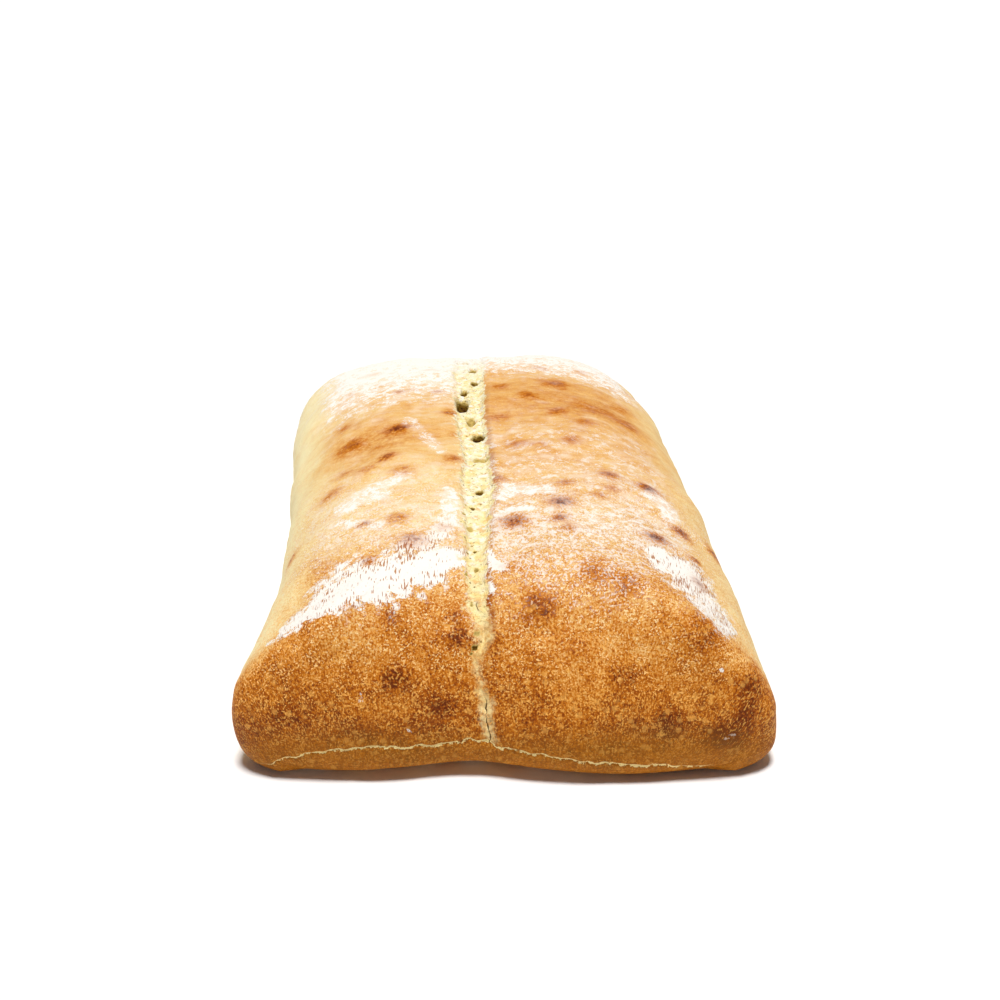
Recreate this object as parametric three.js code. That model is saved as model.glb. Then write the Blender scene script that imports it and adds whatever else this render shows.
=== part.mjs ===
// A ciabatta loaf as one closed solid: a long flat bread, blunt at its near end (-Y) and rounder at
// its far end (+Y), split lengthwise into two lobes, with a thin crack round the foot of the blunt end.
// Millimetres, +Z up, the long axis along Y, the origin under the middle of the loaf.
import * as THREE from "three";
import { mergeGeometries, mergeVertices } from "three/addons/utils/BufferGeometryUtils.js";

const { clamp, lerp, smoothstep, degToRad } = THREE.MathUtils;

// Overall sizes before the skew and the flare.
const LENGTH = 236;
const WIDTH = 126;
const HEIGHT = 50;
const HALF_LENGTH = LENGTH / 2;
const HALF_WIDTH = WIDTH / 2;

// Height of the widest line, along the sides and round the blunt end.
const SIDE_BELLY = 19;
const BLUNT_BELLY = 14.2;

// How far in from the widest line the top levels out.
const SIDE_SHOULDER = 42;
const BLUNT_SHOULDER = 30;
const BLUNT_CORNER_SHOULDER = 13;
const BLUNT_CORNER_START = 0.3;
const ROUND_SHOULDER = 46;

// How far the foot is tucked in under the widest line and how high it ends, and the flat rectangle of
// the base that touches down.
const TUCK = 7.6;
const FOOT_HEIGHT = 0.4;
const CONTACT = { halfWidth: 40, near: -98, far: 92 };

// Superellipse powers: 2 is a circle's curve, more is squarer, less is nearer a straight slope.
const CORNER_POWER = 2.8;
const FOOT_CORNER_POWER = 2.3;
const CROWN_POWER = 2.2;
const BLUNT_CROWN_POWER = 1.78;
const FOOT_POWER = 3.3;

// Share of the height that the crown loses towards the sides and the two ends.
const CROWN_FALL_SIDE = 0.08;
const CROWN_FALL_BLUNT = 0.058;
const CROWN_FALL_ROUND = 0.143;

// The plan leans sideways along its length, its left side is waisted, and it flares at the blunt end.
const SKEW = -0.044;
const LEFT_WAIST = 0.055;
const WAIST_START = 0.1;
const FLARE = 0.083;
const FLARE_START = 0.5;

// Where along each half the blunt end's own section begins to show.
const BLUNT_START = 0.3;

// At the blunt end the split pulls the face in and lifts the foot off the table. END_POWER says how
// quickly both die out away from the end, and LIFT_POWER how quickly the lift does going up.
const NOTCH = 3.1;
const NOTCH_REACH = 16;
const FAR_NOTCH_SHARE = 0.6;
const FOOT_LIFT = 2.2;
const LIFT_REACH = 26;
const LIFT_MIDDLE = -2;
const LIFT_POWER = 4;
const END_POWER = 6;

// The split, station by station along the lengthwise profile, which runs from the foot of the blunt end
// over the top to the far foot with 0 at mid-length: [along, offset across, half width of the open band,
// depth of the valley between the lobes, depth of the band below the crust].
const PROFILE_TOP = 48;
const SPLIT = [
  [-156, -4.2, 0.5, 0.6, 0.2],
  [-142, -5.8, 1.4, 1.2, 0.3],
  [-130, -7.2, 1.3, 1.5, 0.4],
  [-118, -5.4, 1.1, 1.7, 0.5],
  [-107, -7.0, 2.6, 1.9, 0.9],
  [-88, -6.8, 2.8, 2.0, 1.1],
  [-70, -5.8, 3.3, 2.1, 1.2],
  [-48, -5.2, 4.7, 2.1, 1.1],
  [-27, -4.8, 4.0, 2.0, 1.0],
  [10, -5.6, 4.6, 1.6, 1.0],
  [45, -5.0, 5.3, 1.0, 0.8],
  [75, -4.2, 5.5, 0.6, 0.5],
  [95, -4.2, 5.0, 0.4, 0.4],
  [125, -4.0, 3.2, 0.8, 0.5],
  [160, -4.5, 0.8, 0.4, 0.2],
];
const SPLIT_COLUMN_MARGIN = 2.4;
const VALLEY_REACH = 13;
const SPLIT_FADE = { near: [-156, -142], far: [140, 160] };
const BAND_SLOPE = { inside: 1.3, outside: 0.2 };
const CLEFT = { depth: 1.3, reach: 0.9, full: -128, end: -108 };
const RIGHT_LIP = { height: 0.6, reach: 1.8 };
const LEFT_LIP = { height: 0.3, reach: 2.6 };

// Holes in the crumb of the split: [x, y, half width, half length, depth].
const HOLES = [
  [-8.8, 24.3, 2.2, 7.6, 4.2],
  [-8.4, 39.0, 1.4, 4.6, 2.6],
  [-5.6, 8.7, 1.8, 4.0, 1.6],
  [-3.2, -6.1, 2.0, 3.6, 3.4],
  [-2.0, -25.2, 3.2, 2.4, 1.2],
  [-2.4, -47.7, 1.4, 1.9, 1.6],
  [-5.2, 48.0, 1.4, 3.0, 1.6],
  [-6.0, 62.6, 1.5, 3.6, 1.6],
  [-9.8, 76.0, 2.9, 2.6, 1.0],
];
const HOLE_FLOOR = 0.35;
const HOLE_RIM = 1.2;

// The crack round the foot of the blunt end: its height station by station, [x, height].
const CRACK = [
  [-66, 3.0],
  [-54, 3.6],
  [-47, 7.0],
  [-36, 9.4],
  [-24, 10.2],
  [-13, 9.3],
  [-2.5, 10.8],
  [5, 9.6],
  [14, 8.0],
  [27, 6.4],
  [38, 5.2],
  [50, 3.6],
  [66, 3.0],
];
const CRACK_DEPTH = 0.8;
const CRACK_REACH = 0.5;
const CRACK_END = 56;
const CRACK_FADE = 8;
const CRACK_FACE = -80;
const CRACK_LIPS = { above: 1.4, below: 1.2 };

// Broad swells and dents of the dough: [x, y, z, radius, height].
const SWELLS = [
  [60, -107, 25, 18, -2.6],
  [62, -108, 8, 20, 1.1],
  [-60, -108, 8, 20, 1.0],
  [54, 92, 32, 26, -2.4],
  [-62, 70, 30, 30, 0.8],
  [-58, -86, 25, 20, -0.4],
  [-60, -46, 25, 24, 0.3],
  [-33, 96, 42, 26, -0.9],
  [23, 98, 43, 16, 1.4],
  [-30, -62, 50, 24, 0.5],
  [28, -20, 50, 30, 0.4],
];

// Long shallow waves over the whole crust: [per mm along x, y and z, phase, height].
const WAVES = [
  [0.11, 0.06, 0.08, 0.4, 0.22],
  [-0.07, 0.15, 0.05, 2.1, 0.2],
  [0.17, -0.1, 0.12, 4.0, 0.14],
  [0.05, 0.22, -0.1, 1.2, 0.12],
];
const SETTLE_HEIGHT = 8;

// Power of the box-like form whose slope gives the way that relief stands out.
const OUTWARD_POWER = 4;

// Number of cells across, along and down the walls.
const COLUMNS = 28;
const SPLIT_COLUMNS = 10;
const ROWS = 72;
const CROWN_RINGS = 4;
const CROWN_EDGE_ANGLE = degToRad(45);

// The row of values at a place in a table of stations, eased from one station to the next.
function eased(stations, at) {
  const place = clamp(at, stations[0][0], stations.at(-1)[0]);
  const next = Math.max(1, stations.findIndex(([start]) => start >= place));
  const [from, to] = [stations[next - 1], stations[next]];
  const share = smoothstep(place, from[0], to[0]);
  return from.slice(1).map((value, i) => lerp(value, to[i + 1], share));
}

const bell = (distance, reach) => Math.exp(-((distance / reach) ** 2));

// How much a row of the loaf belongs to the blunt end, from 0 to 1.
const bluntness = (b) => clamp((-b - BLUNT_START) / (1 - BLUNT_START), 0, 1) ** 2;

// How much a point belongs to an end, given its share of the way there.
const endness = (share) => clamp(share, 0, 1) ** END_POWER;

// How far a level of the wall has come out to the widest line, and how far it is tucked in below it.
// Level 1 is the edge of the top, 0 the widest line and -1 the foot.
function wallReach(b, level) {
  const crownPower = lerp(CROWN_POWER, BLUNT_CROWN_POWER, bluntness(b));
  const out = Math.cos(CROWN_EDGE_ANGLE * Math.max(level, 0)) ** (2 / crownPower);
  const drop = Math.max(-level, 0);
  const tucked = 1 - (1 - drop ** FOOT_POWER) ** (1 / FOOT_POWER);
  return { crownPower, out, drop, tucked };
}

const wallHalfWidth = ({ out, tucked }) => HALF_WIDTH - SIDE_SHOULDER * (1 - out) - TUCK * tucked;

// A point of the plain body: a and b run from -1 to 1 over the plan, and level runs down the wall.
function bodyPoint(a, b, level) {
  const wall = wallReach(b, level);
  const cornerShare = smoothstep(Math.abs(a), BLUNT_CORNER_START, 1);
  const bluntShoulder = lerp(BLUNT_SHOULDER, BLUNT_CORNER_SHOULDER, cornerShare);
  const endShoulder = b < 0 ? bluntShoulder : ROUND_SHOULDER;
  let x = a * wallHalfWidth(wall);
  let y = b * (HALF_LENGTH - endShoulder * (1 - wall.out) - TUCK * wall.tucked);

  const sideShare = (Math.abs(x) - (HALF_WIDTH - SIDE_SHOULDER)) / SIDE_SHOULDER;
  const endShare = (Math.abs(y) - (HALF_LENGTH - endShoulder)) / endShoulder;
  if (sideShare > 0 && endShare > 0) {
    const power = lerp(CORNER_POWER, FOOT_CORNER_POWER, wall.drop);
    const round = (sideShare ** power + endShare ** power) ** (1 / power);
    const pull = Math.max(sideShare, endShare) / round;
    x = Math.sign(x) * (HALF_WIDTH - SIDE_SHOULDER * (1 - sideShare * pull));
    y = Math.sign(y) * (HALF_LENGTH - endShoulder * (1 - endShare * pull));
  }

  const belly = lerp(SIDE_BELLY, BLUNT_BELLY, bluntness(b));
  const xShare = x / HALF_WIDTH;
  const yShare = y / HALF_LENGTH;
  const endFall = yShare < 0 ? CROWN_FALL_BLUNT : CROWN_FALL_ROUND;
  const crown = HEIGHT * (1 - CROWN_FALL_SIDE * xShare ** 2) * (1 - endFall * yShare ** 2);
  const outShare = level < 1 ? wall.out : clamp(Math.max(sideShare, endShare), 0, 1);
  const rise = Math.max(0, 1 - outShare ** wall.crownPower) ** (1 / wall.crownPower);
  const z = level > 0 ? lerp(belly, crown, rise) : lerp(belly, FOOT_HEIGHT, wall.drop);
  return bend(new THREE.Vector3(x, y, z));
}

// Leans, waists and flares the plan, and pulls the ends in and up at the split.
function bend({ x, y, z }) {
  const xShare = x / HALF_WIDTH;
  const yShare = y / HALF_LENGTH;
  const waist = LEFT_WAIST * ((1 - xShare) / 2) * Math.sin(Math.PI * (yShare - WAIST_START));
  const flare = FLARE * clamp(-yShare - FLARE_START, 0, 1);
  const bentX = x * (1 + waist + flare) + SKEW * y;
  const notch = NOTCH * bell(bentX - SPLIT[0][1], NOTCH_REACH);
  const bentY = y + notch * (endness(-yShare) - FAR_NOTCH_SHARE * endness(yShare));
  const bentZ = z + footLift(bentX, yShare) * (1 - z / HEIGHT) ** LIFT_POWER;
  return new THREE.Vector3(bentX, bentY, bentZ);
}

function footLift(x, yShare) {
  return FOOT_LIFT * bell(x - LIFT_MIDDLE, LIFT_REACH) * endness(-yShare);
}

// Distance along the lengthwise profile, which goes down both ends.
const alongProfile = ({ y, z }) => y + Math.sign(y) * Math.max(0, PROFILE_TOP - z);

// The split at a point of the body: its middle line across the loaf, the half width of its open band,
// and the depths of the valley and of the band.
function splitAt(point) {
  const [offset, halfBand, valleyDepth, bandDepth] = eased(SPLIT, alongProfile(point));
  return { middle: offset + SKEW * point.y, halfBand, valleyDepth, bandDepth };
}

// The direction in which relief stands out of the body.
function outward({ x, y, z }) {
  const above = HEIGHT - SIDE_BELLY;
  const up = (z - SIDE_BELLY) / (z > SIDE_BELLY ? above : SIDE_BELLY);
  const steepness = (place, half) => (OUTWARD_POWER / half) * (place / half) ** (OUTWARD_POWER - 1);
  const slope = new THREE.Vector3(steepness(x, HALF_WIDTH), steepness(y, HALF_LENGTH), (2 * up) / above);
  return slope.normalize();
}

function swellRelief(point) {
  return SWELLS.reduce((sum, [x, y, z, radius, height]) => {
    const distance = point.distanceTo(new THREE.Vector3(x, y, z));
    return sum + height * bell(distance, radius);
  }, 0);
}

function waveRelief({ x, y, z }) {
  const wave = ([kx, ky, kz, phase, height]) => height * Math.sin(kx * x + ky * y + kz * z + phase);
  return WAVES.reduce((sum, entry) => sum + wave(entry), 0);
}

// The valley between the lobes, the sunk open band, its raised lips and the cleft down the blunt face.
function splitRelief(point) {
  const { middle, halfBand, valleyDepth, bandDepth } = splitAt(point);
  const across = point.x - middle;
  const along = alongProfile(point);
  const ends = smoothstep(along, ...SPLIT_FADE.near) * (1 - smoothstep(along, ...SPLIT_FADE.far));
  const valley = -valleyDepth * bell(across, VALLEY_REACH);
  const edge = [halfBand - BAND_SLOPE.inside, halfBand + BAND_SLOPE.outside];
  const band = -bandDepth * (1 - smoothstep(Math.abs(across), ...edge));
  const lips =
    RIGHT_LIP.height * bell(across - halfBand - RIGHT_LIP.reach, RIGHT_LIP.reach) +
    LEFT_LIP.height * bell(across + halfBand + LEFT_LIP.reach, LEFT_LIP.reach);
  const cleft = -CLEFT.depth * bell(across, CLEFT.reach) * (1 - smoothstep(along, CLEFT.full, CLEFT.end));
  return ends * (valley + band + lips + cleft);
}

function holeRelief({ x, y, z }) {
  if (z < HEIGHT / 2) return 0;
  return HOLES.reduce((sum, [holeX, holeY, halfWidth, halfLength, depth]) => {
    const distance = Math.hypot((x - holeX) / halfWidth, (y - holeY) / halfLength);
    return sum - depth * (1 - smoothstep(distance, HOLE_FLOOR, HOLE_RIM));
  }, 0);
}

function crackRelief({ x, y, z }) {
  if (y > CRACK_FACE) return 0;
  const shown = 1 - smoothstep(Math.abs(x), CRACK_END - CRACK_FADE, CRACK_END);
  return -CRACK_DEPTH * shown * bell(z - eased(CRACK, x)[0], CRACK_REACH);
}

// A point of the crust: the body with its relief, which dies out towards the flat foot.
function crustPoint(a, b, level) {
  const point = bodyPoint(a, b, level);
  const settled = smoothstep(point.z, 0, SETTLE_HEIGHT);
  const broad = swellRelief(point) + waveRelief(point) + splitRelief(point) + holeRelief(point);
  return point.addScaledVector(outward(point), settled * broad + crackRelief(point));
}

// Place across the plan, from -1 to 1, of a column. The middle columns crowd together over the split.
function columnPlace(column, b, level) {
  const sideColumns = (COLUMNS - SPLIT_COLUMNS) / 2;
  const { middle, halfBand } = splitAt(bodyPoint(0, b, level));
  const halfWidth = wallHalfWidth(wallReach(b, level));
  const straightMiddle = middle - SKEW * bodyPoint(0, b, level).y;
  const left = (straightMiddle - halfBand - SPLIT_COLUMN_MARGIN) / halfWidth;
  const right = (straightMiddle + halfBand + SPLIT_COLUMN_MARGIN) / halfWidth;
  if (column <= sideColumns) return lerp(-1, left, column / sideColumns);
  if (column >= COLUMNS - sideColumns) return lerp(1, right, (COLUMNS - column) / sideColumns);
  return lerp(left, right, (column - sideColumns) / SPLIT_COLUMNS);
}

// Moves every vertex of a flat grid to place(column, row).
function mapGrid(columns, rows, place) {
  const grid = new THREE.PlaneGeometry(1, 1, columns, rows);
  const { uv, position } = grid.attributes;
  for (let i = 0; i < position.count; i++) {
    const column = Math.round(uv.getX(i) * columns);
    const row = Math.round(uv.getY(i) * rows);
    position.setXYZ(i, ...place(column, row));
  }
  return grid;
}

function topSurface() {
  return mapGrid(COLUMNS, ROWS, (column, row) => {
    const b = -1 + (2 * row) / ROWS;
    return crustPoint(columnPlace(column, b, 1), b, 1);
  });
}

// Heights of the rings below the widest line, down to the table. Five of them run close together along
// the crack.
function footRingHeights(x, belly) {
  const crack = eased(CRACK, x)[0];
  const upper = crack + CRACK_LIPS.above;
  const lower = crack - CRACK_LIPS.below;
  const above = [lerp(belly, upper, 1 / 3), lerp(belly, upper, 2 / 3), upper];
  return [...above, crack + CRACK_REACH, crack, crack - CRACK_REACH, lower, lower / 2, FOOT_HEIGHT];
}

// Goes once round the plan's square, counter-clockwise from its left blunt corner.
function wallPlace(index, level) {
  const corners = [COLUMNS, COLUMNS + ROWS, 2 * COLUMNS + ROWS];
  if (index <= corners[0]) return [columnPlace(index, -1, level), -1];
  if (index <= corners[1]) return [1, -1 + (2 * (index - corners[0])) / ROWS];
  if (index <= corners[2]) return [columnPlace(corners[2] - index, 1, level), 1];
  return [-1, 1 - (2 * (index - corners[2])) / ROWS];
}

const PERIMETER = 2 * (COLUMNS + ROWS);
const FOOT_RINGS = footRingHeights(0, SIDE_BELLY).length;

// The level of a ring of the wall, counted down from the edge of the top.
function ringLevel(index, ring) {
  if (ring <= CROWN_RINGS) return 1 - ring / CROWN_RINGS;
  const [a, b] = wallPlace(index, 0);
  const belly = lerp(SIDE_BELLY, BLUNT_BELLY, bluntness(b));
  const heights = footRingHeights(bodyPoint(a, b, 0).x, belly);
  return (heights[ring - CROWN_RINGS - 1] - belly) / (belly - FOOT_HEIGHT);
}

// A point of the rectangle's edge, where the base leaves the table and rises to the foot.
function contactPoint(index) {
  const [a, b] = wallPlace(index, -1);
  const y = lerp(CONTACT.near, CONTACT.far, (b + 1) / 2);
  return new THREE.Vector3(a * CONTACT.halfWidth, y, 0);
}

function wallSurface() {
  const rings = CROWN_RINGS + FOOT_RINGS + 1;
  return mapGrid(PERIMETER, rings, (column, row) => {
    const index = column % PERIMETER;
    const ring = rings - row;
    if (ring === rings) return contactPoint(index);
    const level = ringLevel(index, ring);
    return crustPoint(...wallPlace(index, level), level);
  });
}

// The flat rectangle of the base that touches down, facing down.
function baseSurface() {
  const outline = [];
  for (let index = 0; index < PERIMETER; index++) {
    const { x, y } = contactPoint(index);
    outline.push(new THREE.Vector2(-x, y));
  }
  return new THREE.ShapeGeometry(new THREE.Shape(outline)).rotateY(Math.PI);
}

// Joins the three surfaces into one closed skin and stands it with its base's middle on the origin.
function loafGeometry() {
  const surfaces = [topSurface(), wallSurface(), baseSurface()];
  for (const surface of surfaces) {
    surface.deleteAttribute("normal");
    surface.deleteAttribute("uv");
  }
  const skin = mergeVertices(mergeGeometries(surfaces), 1e-3);
  skin.computeBoundingBox();
  const middle = skin.boundingBox.getCenter(new THREE.Vector3());
  skin.translate(-middle.x, -middle.y, -skin.boundingBox.min.z);
  skin.computeVertexNormals();
  return skin;
}

const crust = new THREE.MeshStandardMaterial({ color: 0xd9a05c, roughness: 0.75, metalness: 0 });
const loaf = new THREE.Mesh(loafGeometry(), crust);
loaf.name = "loaf";

const bread = new THREE.Group();
bread.add(loaf);

export default bread;
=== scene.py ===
"""A ciabatta loaf: its floured, blistered crust with the torn crumb that shows along its split.

Sizes of the loaf are in millimetres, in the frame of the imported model: +Z up, the loaf along Y, its
blunt end towards -Y. The finished mesh is in metres.
"""

import math

import bmesh
import bpy
import numpy as np
from mathutils import Euler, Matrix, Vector, noise


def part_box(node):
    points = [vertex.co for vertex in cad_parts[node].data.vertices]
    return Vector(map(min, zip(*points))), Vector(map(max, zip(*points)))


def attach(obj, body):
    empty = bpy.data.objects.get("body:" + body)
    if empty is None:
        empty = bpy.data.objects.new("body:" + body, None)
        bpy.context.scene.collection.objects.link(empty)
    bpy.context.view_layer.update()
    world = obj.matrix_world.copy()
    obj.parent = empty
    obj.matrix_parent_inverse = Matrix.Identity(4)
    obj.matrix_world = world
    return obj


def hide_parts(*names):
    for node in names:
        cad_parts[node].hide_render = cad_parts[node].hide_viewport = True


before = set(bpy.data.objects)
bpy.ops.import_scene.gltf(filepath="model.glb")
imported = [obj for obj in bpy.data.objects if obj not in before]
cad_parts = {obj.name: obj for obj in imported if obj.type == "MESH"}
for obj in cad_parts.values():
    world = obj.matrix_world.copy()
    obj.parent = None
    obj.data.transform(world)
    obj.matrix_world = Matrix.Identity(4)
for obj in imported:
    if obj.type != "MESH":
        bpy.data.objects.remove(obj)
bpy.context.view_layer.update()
LOAF_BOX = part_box("loaf")

bl_info = {
    "name": "Ciabatta loaf",
    "version": (1, 0, 0),
    "blender": (4, 5, 0),
    "location": "View3D > Sidebar > Ciabatta",
    "description": "Builds a ciabatta loaf round its packed solid",
    "category": "Object",
}

MM = 0.001
MM_PER_METRE = 1000


# ---------------------------------------------------------------- the body, as the solid has it

LENGTH = 236
WIDTH = 126
HEIGHT = 50
HALF_LENGTH = LENGTH / 2
HALF_WIDTH = WIDTH / 2

# Height of the widest line, along the sides and round the blunt end.
SIDE_BELLY = 19
BLUNT_BELLY = 14.2

# How far in from the widest line the top levels out: on the sides, at the middle and corners of the blunt
# end, with the share of the half width where its corners begin, and at the rounded end.
SIDE_SHOULDER = 42
BLUNT_SHOULDER = 30
BLUNT_CORNER_SHOULDER = 13
BLUNT_CORNER_START = 0.3
ROUND_SHOULDER = 46

# How far the foot is tucked in under the widest line and how high it ends, and the flat rectangle of
# the base that touches down.
TUCK = 7.6
FOOT_HEIGHT = 0.4
CONTACT_HALF_WIDTH = 40
CONTACT_NEAR = -98
CONTACT_FAR = 92

# Superellipse powers: 2 is a circle's curve, more is squarer, less is nearer a straight slope.
CORNER_POWER = 2.8
FOOT_CORNER_POWER = 2.3
CROWN_POWER = 2.2
BLUNT_CROWN_POWER = 1.78
FOOT_POWER = 3.3

# Share of the height that the crown loses towards the sides and the two ends.
CROWN_FALL_SIDE = 0.08
CROWN_FALL_BLUNT = 0.058
CROWN_FALL_ROUND = 0.143

# The plan leans sideways along its length, its left side is waisted, and it flares at the blunt end.
SKEW = -0.044
LEFT_WAIST = 0.055
WAIST_START = 0.1
FLARE = 0.083
FLARE_START = 0.5
BLUNT_START = 0.3

# At the blunt end the split pulls the face in and lifts the foot off the table.
NOTCH = 3.1
NOTCH_REACH = 16
NOTCH_MIDDLE = -4.4
FAR_NOTCH_SHARE = 0.6
FOOT_LIFT = 2.2
LIFT_REACH = 26
LIFT_MIDDLE = -2
LIFT_POWER = 4
END_POWER = 6

# The split along the lengthwise profile, which runs down both ends, with 0 at mid-length: [along, offset
# across, half width of the open band, depth of the valley, depth of the band].
PROFILE_TOP = 48
SPLIT = [
    [-156, -4.2, 0.5, 0.6, 0.2],
    [-142, -5.8, 1.4, 1.2, 0.3],
    [-130, -7.2, 1.3, 1.5, 0.4],
    [-118, -5.4, 1.1, 1.7, 0.5],
    [-107, -7, 2.6, 1.9, 0.9],
    [-88, -6.8, 2.8, 2, 1.1],
    [-70, -5.8, 3.3, 2.1, 1.2],
    [-48, -5.2, 4.7, 2.1, 1.1],
    [-27, -4.8, 4, 2, 1],
    [10, -5.6, 4.6, 1.6, 1],
    [45, -5, 5.3, 1, 0.8],
    [75, -4.2, 5.5, 0.6, 0.5],
    [95, -4.2, 5, 0.4, 0.4],
    [125, -4, 3.2, 0.8, 0.5],
    [160, -4.5, 0.8, 0.4, 0.2],
]
# How far the mesh's crowded columns reach past the open band, and how far the valley reaches.
SPLIT_COLUMN_MARGIN = 2.4
VALLEY_REACH = 13
# Where along the profile the split begins and ends.
SPLIT_FADE_NEAR = (-156, -142)
SPLIT_FADE_FAR = (140, 160)
# Height and half width of the raised crust on each side of the band.
RIGHT_LIP = (0.6, 1.8)
LEFT_LIP = (0.3, 2.6)

# Holes in the crumb of the split: [x, y, half width, half length, depth, darkness of painted shade].
HOLES = [
    [-8.8, 24.3, 2.2, 7.6, 4.2, 1],
    [-8.4, 39, 1.4, 4.6, 2.6, 0.8],
    [-5.6, 8.7, 1.8, 4, 1.6, 0.45],
    [-3.2, -6.1, 2, 3.6, 3.4, 1.3],
    [-2, -25.2, 3.2, 2.4, 1.2, 0.4],
    [-2.4, -47.7, 1.4, 1.9, 1.6, 0.9],
    [-5.2, 48, 1.4, 3, 1.6, 0.7],
    [-6, 62.6, 1.5, 3.6, 1.6, 0.6],
    [-9.8, 76, 2.9, 2.6, 1, 0.35],
]
# Shares of a hole's size from its floor to its rim, and from its darkest painted shade to none, and how
# uneven its outline is: [cell size, share, seed].
HOLE_WALL = (0.35, 1.2)
HOLE_SHADE = (0.6, 1.1)
HOLE_UNEVEN = [[2.2, 0.25, 83]]

# Pinholes and burst bubbles in the crumb: [x, along the profile, radius, depth, darkness of painted shade].
PITS = [
    [-2.9, -123.8, 0.8, 0.9, 0.98],
    [-3.7, -126, 0.4, 0.4, 0.8],
    [-2.4, -119, 0.9, 0.4, 0.4],
    [-3.7, -107.8, 0.5, 0.3, 0.5],
    [-4, -59, 0.8, 0.5, 0.8],
    [-5.8, -58.4, 0.5, 0.3, 0.5],
    [-6.3, -63.8, 0.6, 0.3, 0.5],
    [-4.6, -70.9, 1.1, 0.4, 0.4],
    [-3.9, -79.8, 0.5, 0.4, 0.7],
    [-3, -83.2, 0.5, 0.4, 0.9],
    [-4.9, -85, 0.4, 0.3, 0.8],
    [-2.6, -93.5, 0.8, 0.4, 0.5],
    [-5, -96.5, 0.5, 0.3, 0.5],
]
# How much shorter the slope of the blunt face is than the same stretch of the profile.
SLOPE_SHARE = 0.7
# The last two columns of the holes and the pits: depth, and the darkness of their painted shade.
DEPTH = -2
SHADE_DARKNESS = -1

# The crack round the foot of the blunt end: its height station by station, [x, height].
CRACK = [
    [-66, 3],
    [-54, 3.6],
    [-47, 7],
    [-36, 9.4],
    [-24, 10.2],
    [-13, 9.3],
    [-2.5, 10.8],
    [5, 9.6],
    [14, 8],
    [27, 6.4],
    [38, 5.2],
    [50, 3.6],
    [66, 3],
]
# How far out the crack runs, how far it takes to fade there, and where along the loaf it stops.
CRACK_END = 56
CRACK_FADE = 8
CRACK_FACE = -80
# Heights of the mesh's rings above and below the crack, and of the two close to it.
CRACK_LIPS = (1.4, 1.2)
CRACK_REACH = 0.5

# Broad swells and dents of the dough: [x, y, z, radius, height].
SWELLS = [
    [60, -107, 25, 18, -2.6],
    [62, -108, 8, 20, 1.1],
    [-60, -108, 8, 20, 1],
    [54, 92, 32, 26, -2.4],
    [-62, 70, 30, 30, 0.8],
    [-58, -86, 25, 20, -0.4],
    [-60, -46, 25, 24, 0.3],
    [-33, 96, 42, 26, -0.9],
    [23, 98, 43, 16, 1.4],
    [-30, -62, 50, 24, 0.5],
    [28, -20, 50, 30, 0.4],
]

# Long shallow waves over the whole crust: [per mm along x, y and z, phase, height].
WAVES = [
    [0.11, 0.06, 0.08, 0.4, 0.22],
    [-0.07, 0.15, 0.05, 2.1, 0.2],
    [0.17, -0.1, 0.12, 4, 0.14],
    [0.05, 0.22, -0.1, 1.2, 0.12],
]
# Relief fades to nothing over the lowest crust, which keeps the foot plain.
SETTLE_HEIGHT = 8
# Power of the plan's rounding where it says which way relief stands out.
OUTWARD_POWER = 4
# How far round the crown's curve the grid of the top reaches down.
CROWN_EDGE_ANGLE = math.radians(45)


# ---------------------------------------------------------------- what the solid leaves out

# Number of cells across, over the split, along and down the walls, before the parts with fine detail are
# divided again: the split, and the end up to a share of the half length.
COLUMNS = 116
SPLIT_COLUMNS = 20
ROWS = 214
CROWN_RINGS = 22
FOOT_STEPS = (5, 3, 2, 2, 3, 4)
FOOT_RINGS = CROWN_RINGS + sum(FOOT_STEPS)
CONTACT_RING = FOOT_RINGS + 1
FINE_FACE = -0.86

# Lumps of the crust: [cell size, height, seed].
LUMPS = [[17, 0.5, 3.1], [7.5, 0.3, 11.7], [3.1, 0.13, 23.9]]

# Wrinkles that run across the top, where the crust has shrunk: cell sizes across, along and up, height,
# seed, and where along the loaf they begin and are full.
WRINKLE_CELLS = (9, 2.3, 9)
WRINKLE_HEIGHT = 0.2
WRINKLE_SEED = 37
WRINKLE_START = (-95, -40)

# Pores of the torn crumb: [cell size, height, seed].
CRUMB_LUMPS = [[3.4, 0.5, 5.3], [1.5, 0.42, 17.1], [0.8, 0.2, 29.3]]

# How far the torn edge of the crust wanders: [cell size along, distance, seed], and the half widths of the
# band at which it is straight and wanders fully.
TORN_EDGE = [[5, 1, 41], [1.7, 0.55, 53]]
TORN_BAND = (0.4, 3)

# Distance in from the torn edge over which the band sinks and its relief turns from crust to crumb.
BAND_SLOPE = (-0.3, 1.6)

# How many millimetres the crust takes to give way to crumb, to each side and down the blunt face.
LEFT_SOFTNESS = 2
RIGHT_SOFTNESS = 0.5
NEAR_SOFTNESS = 1
SOFT_NEAR = (-118, -106)

# The thin rift in the middle of the split, dark with painted shade: [along the profile, half width, how
# much crumb shows beside it], how it wanders, and its depth, with how far in from its edge that begins and
# is full.
RIFT = [
    [-156, -0.3, 0],
    [-153.5, 0.05, 0.6],
    [-151, 0.08, 0.6],
    [-148.5, 0.12, 0.7],
    [-146, 0.03, 0.75],
    [-144, 0.15, 0.9],
    [-141.5, 0.02, 0.8],
    [-139.5, -0.1, 0.75],
    [-137, -0.3, 0.55],
    [-131, -0.3, 0.45],
    [-124, -0.3, 0.75],
    [-119.5, -0.2, 1.1],
    [-117.5, 0.02, 1.2],
    [-116, -0.2, 1.2],
    [-111.5, -0.2, 1.1],
    [-109.5, 0.1, 1],
    [-107, 0.02, 1],
    [-105.5, -0.3, 1],
    [-96, -0.3, 1],
]
RIFT_WANDER = [[5, 0.9, 61], [1.7, 0.5, 67]]
RIFT_DEPTH = 0.5
RIFT_EDGE = (-0.35, 0.175)

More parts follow.
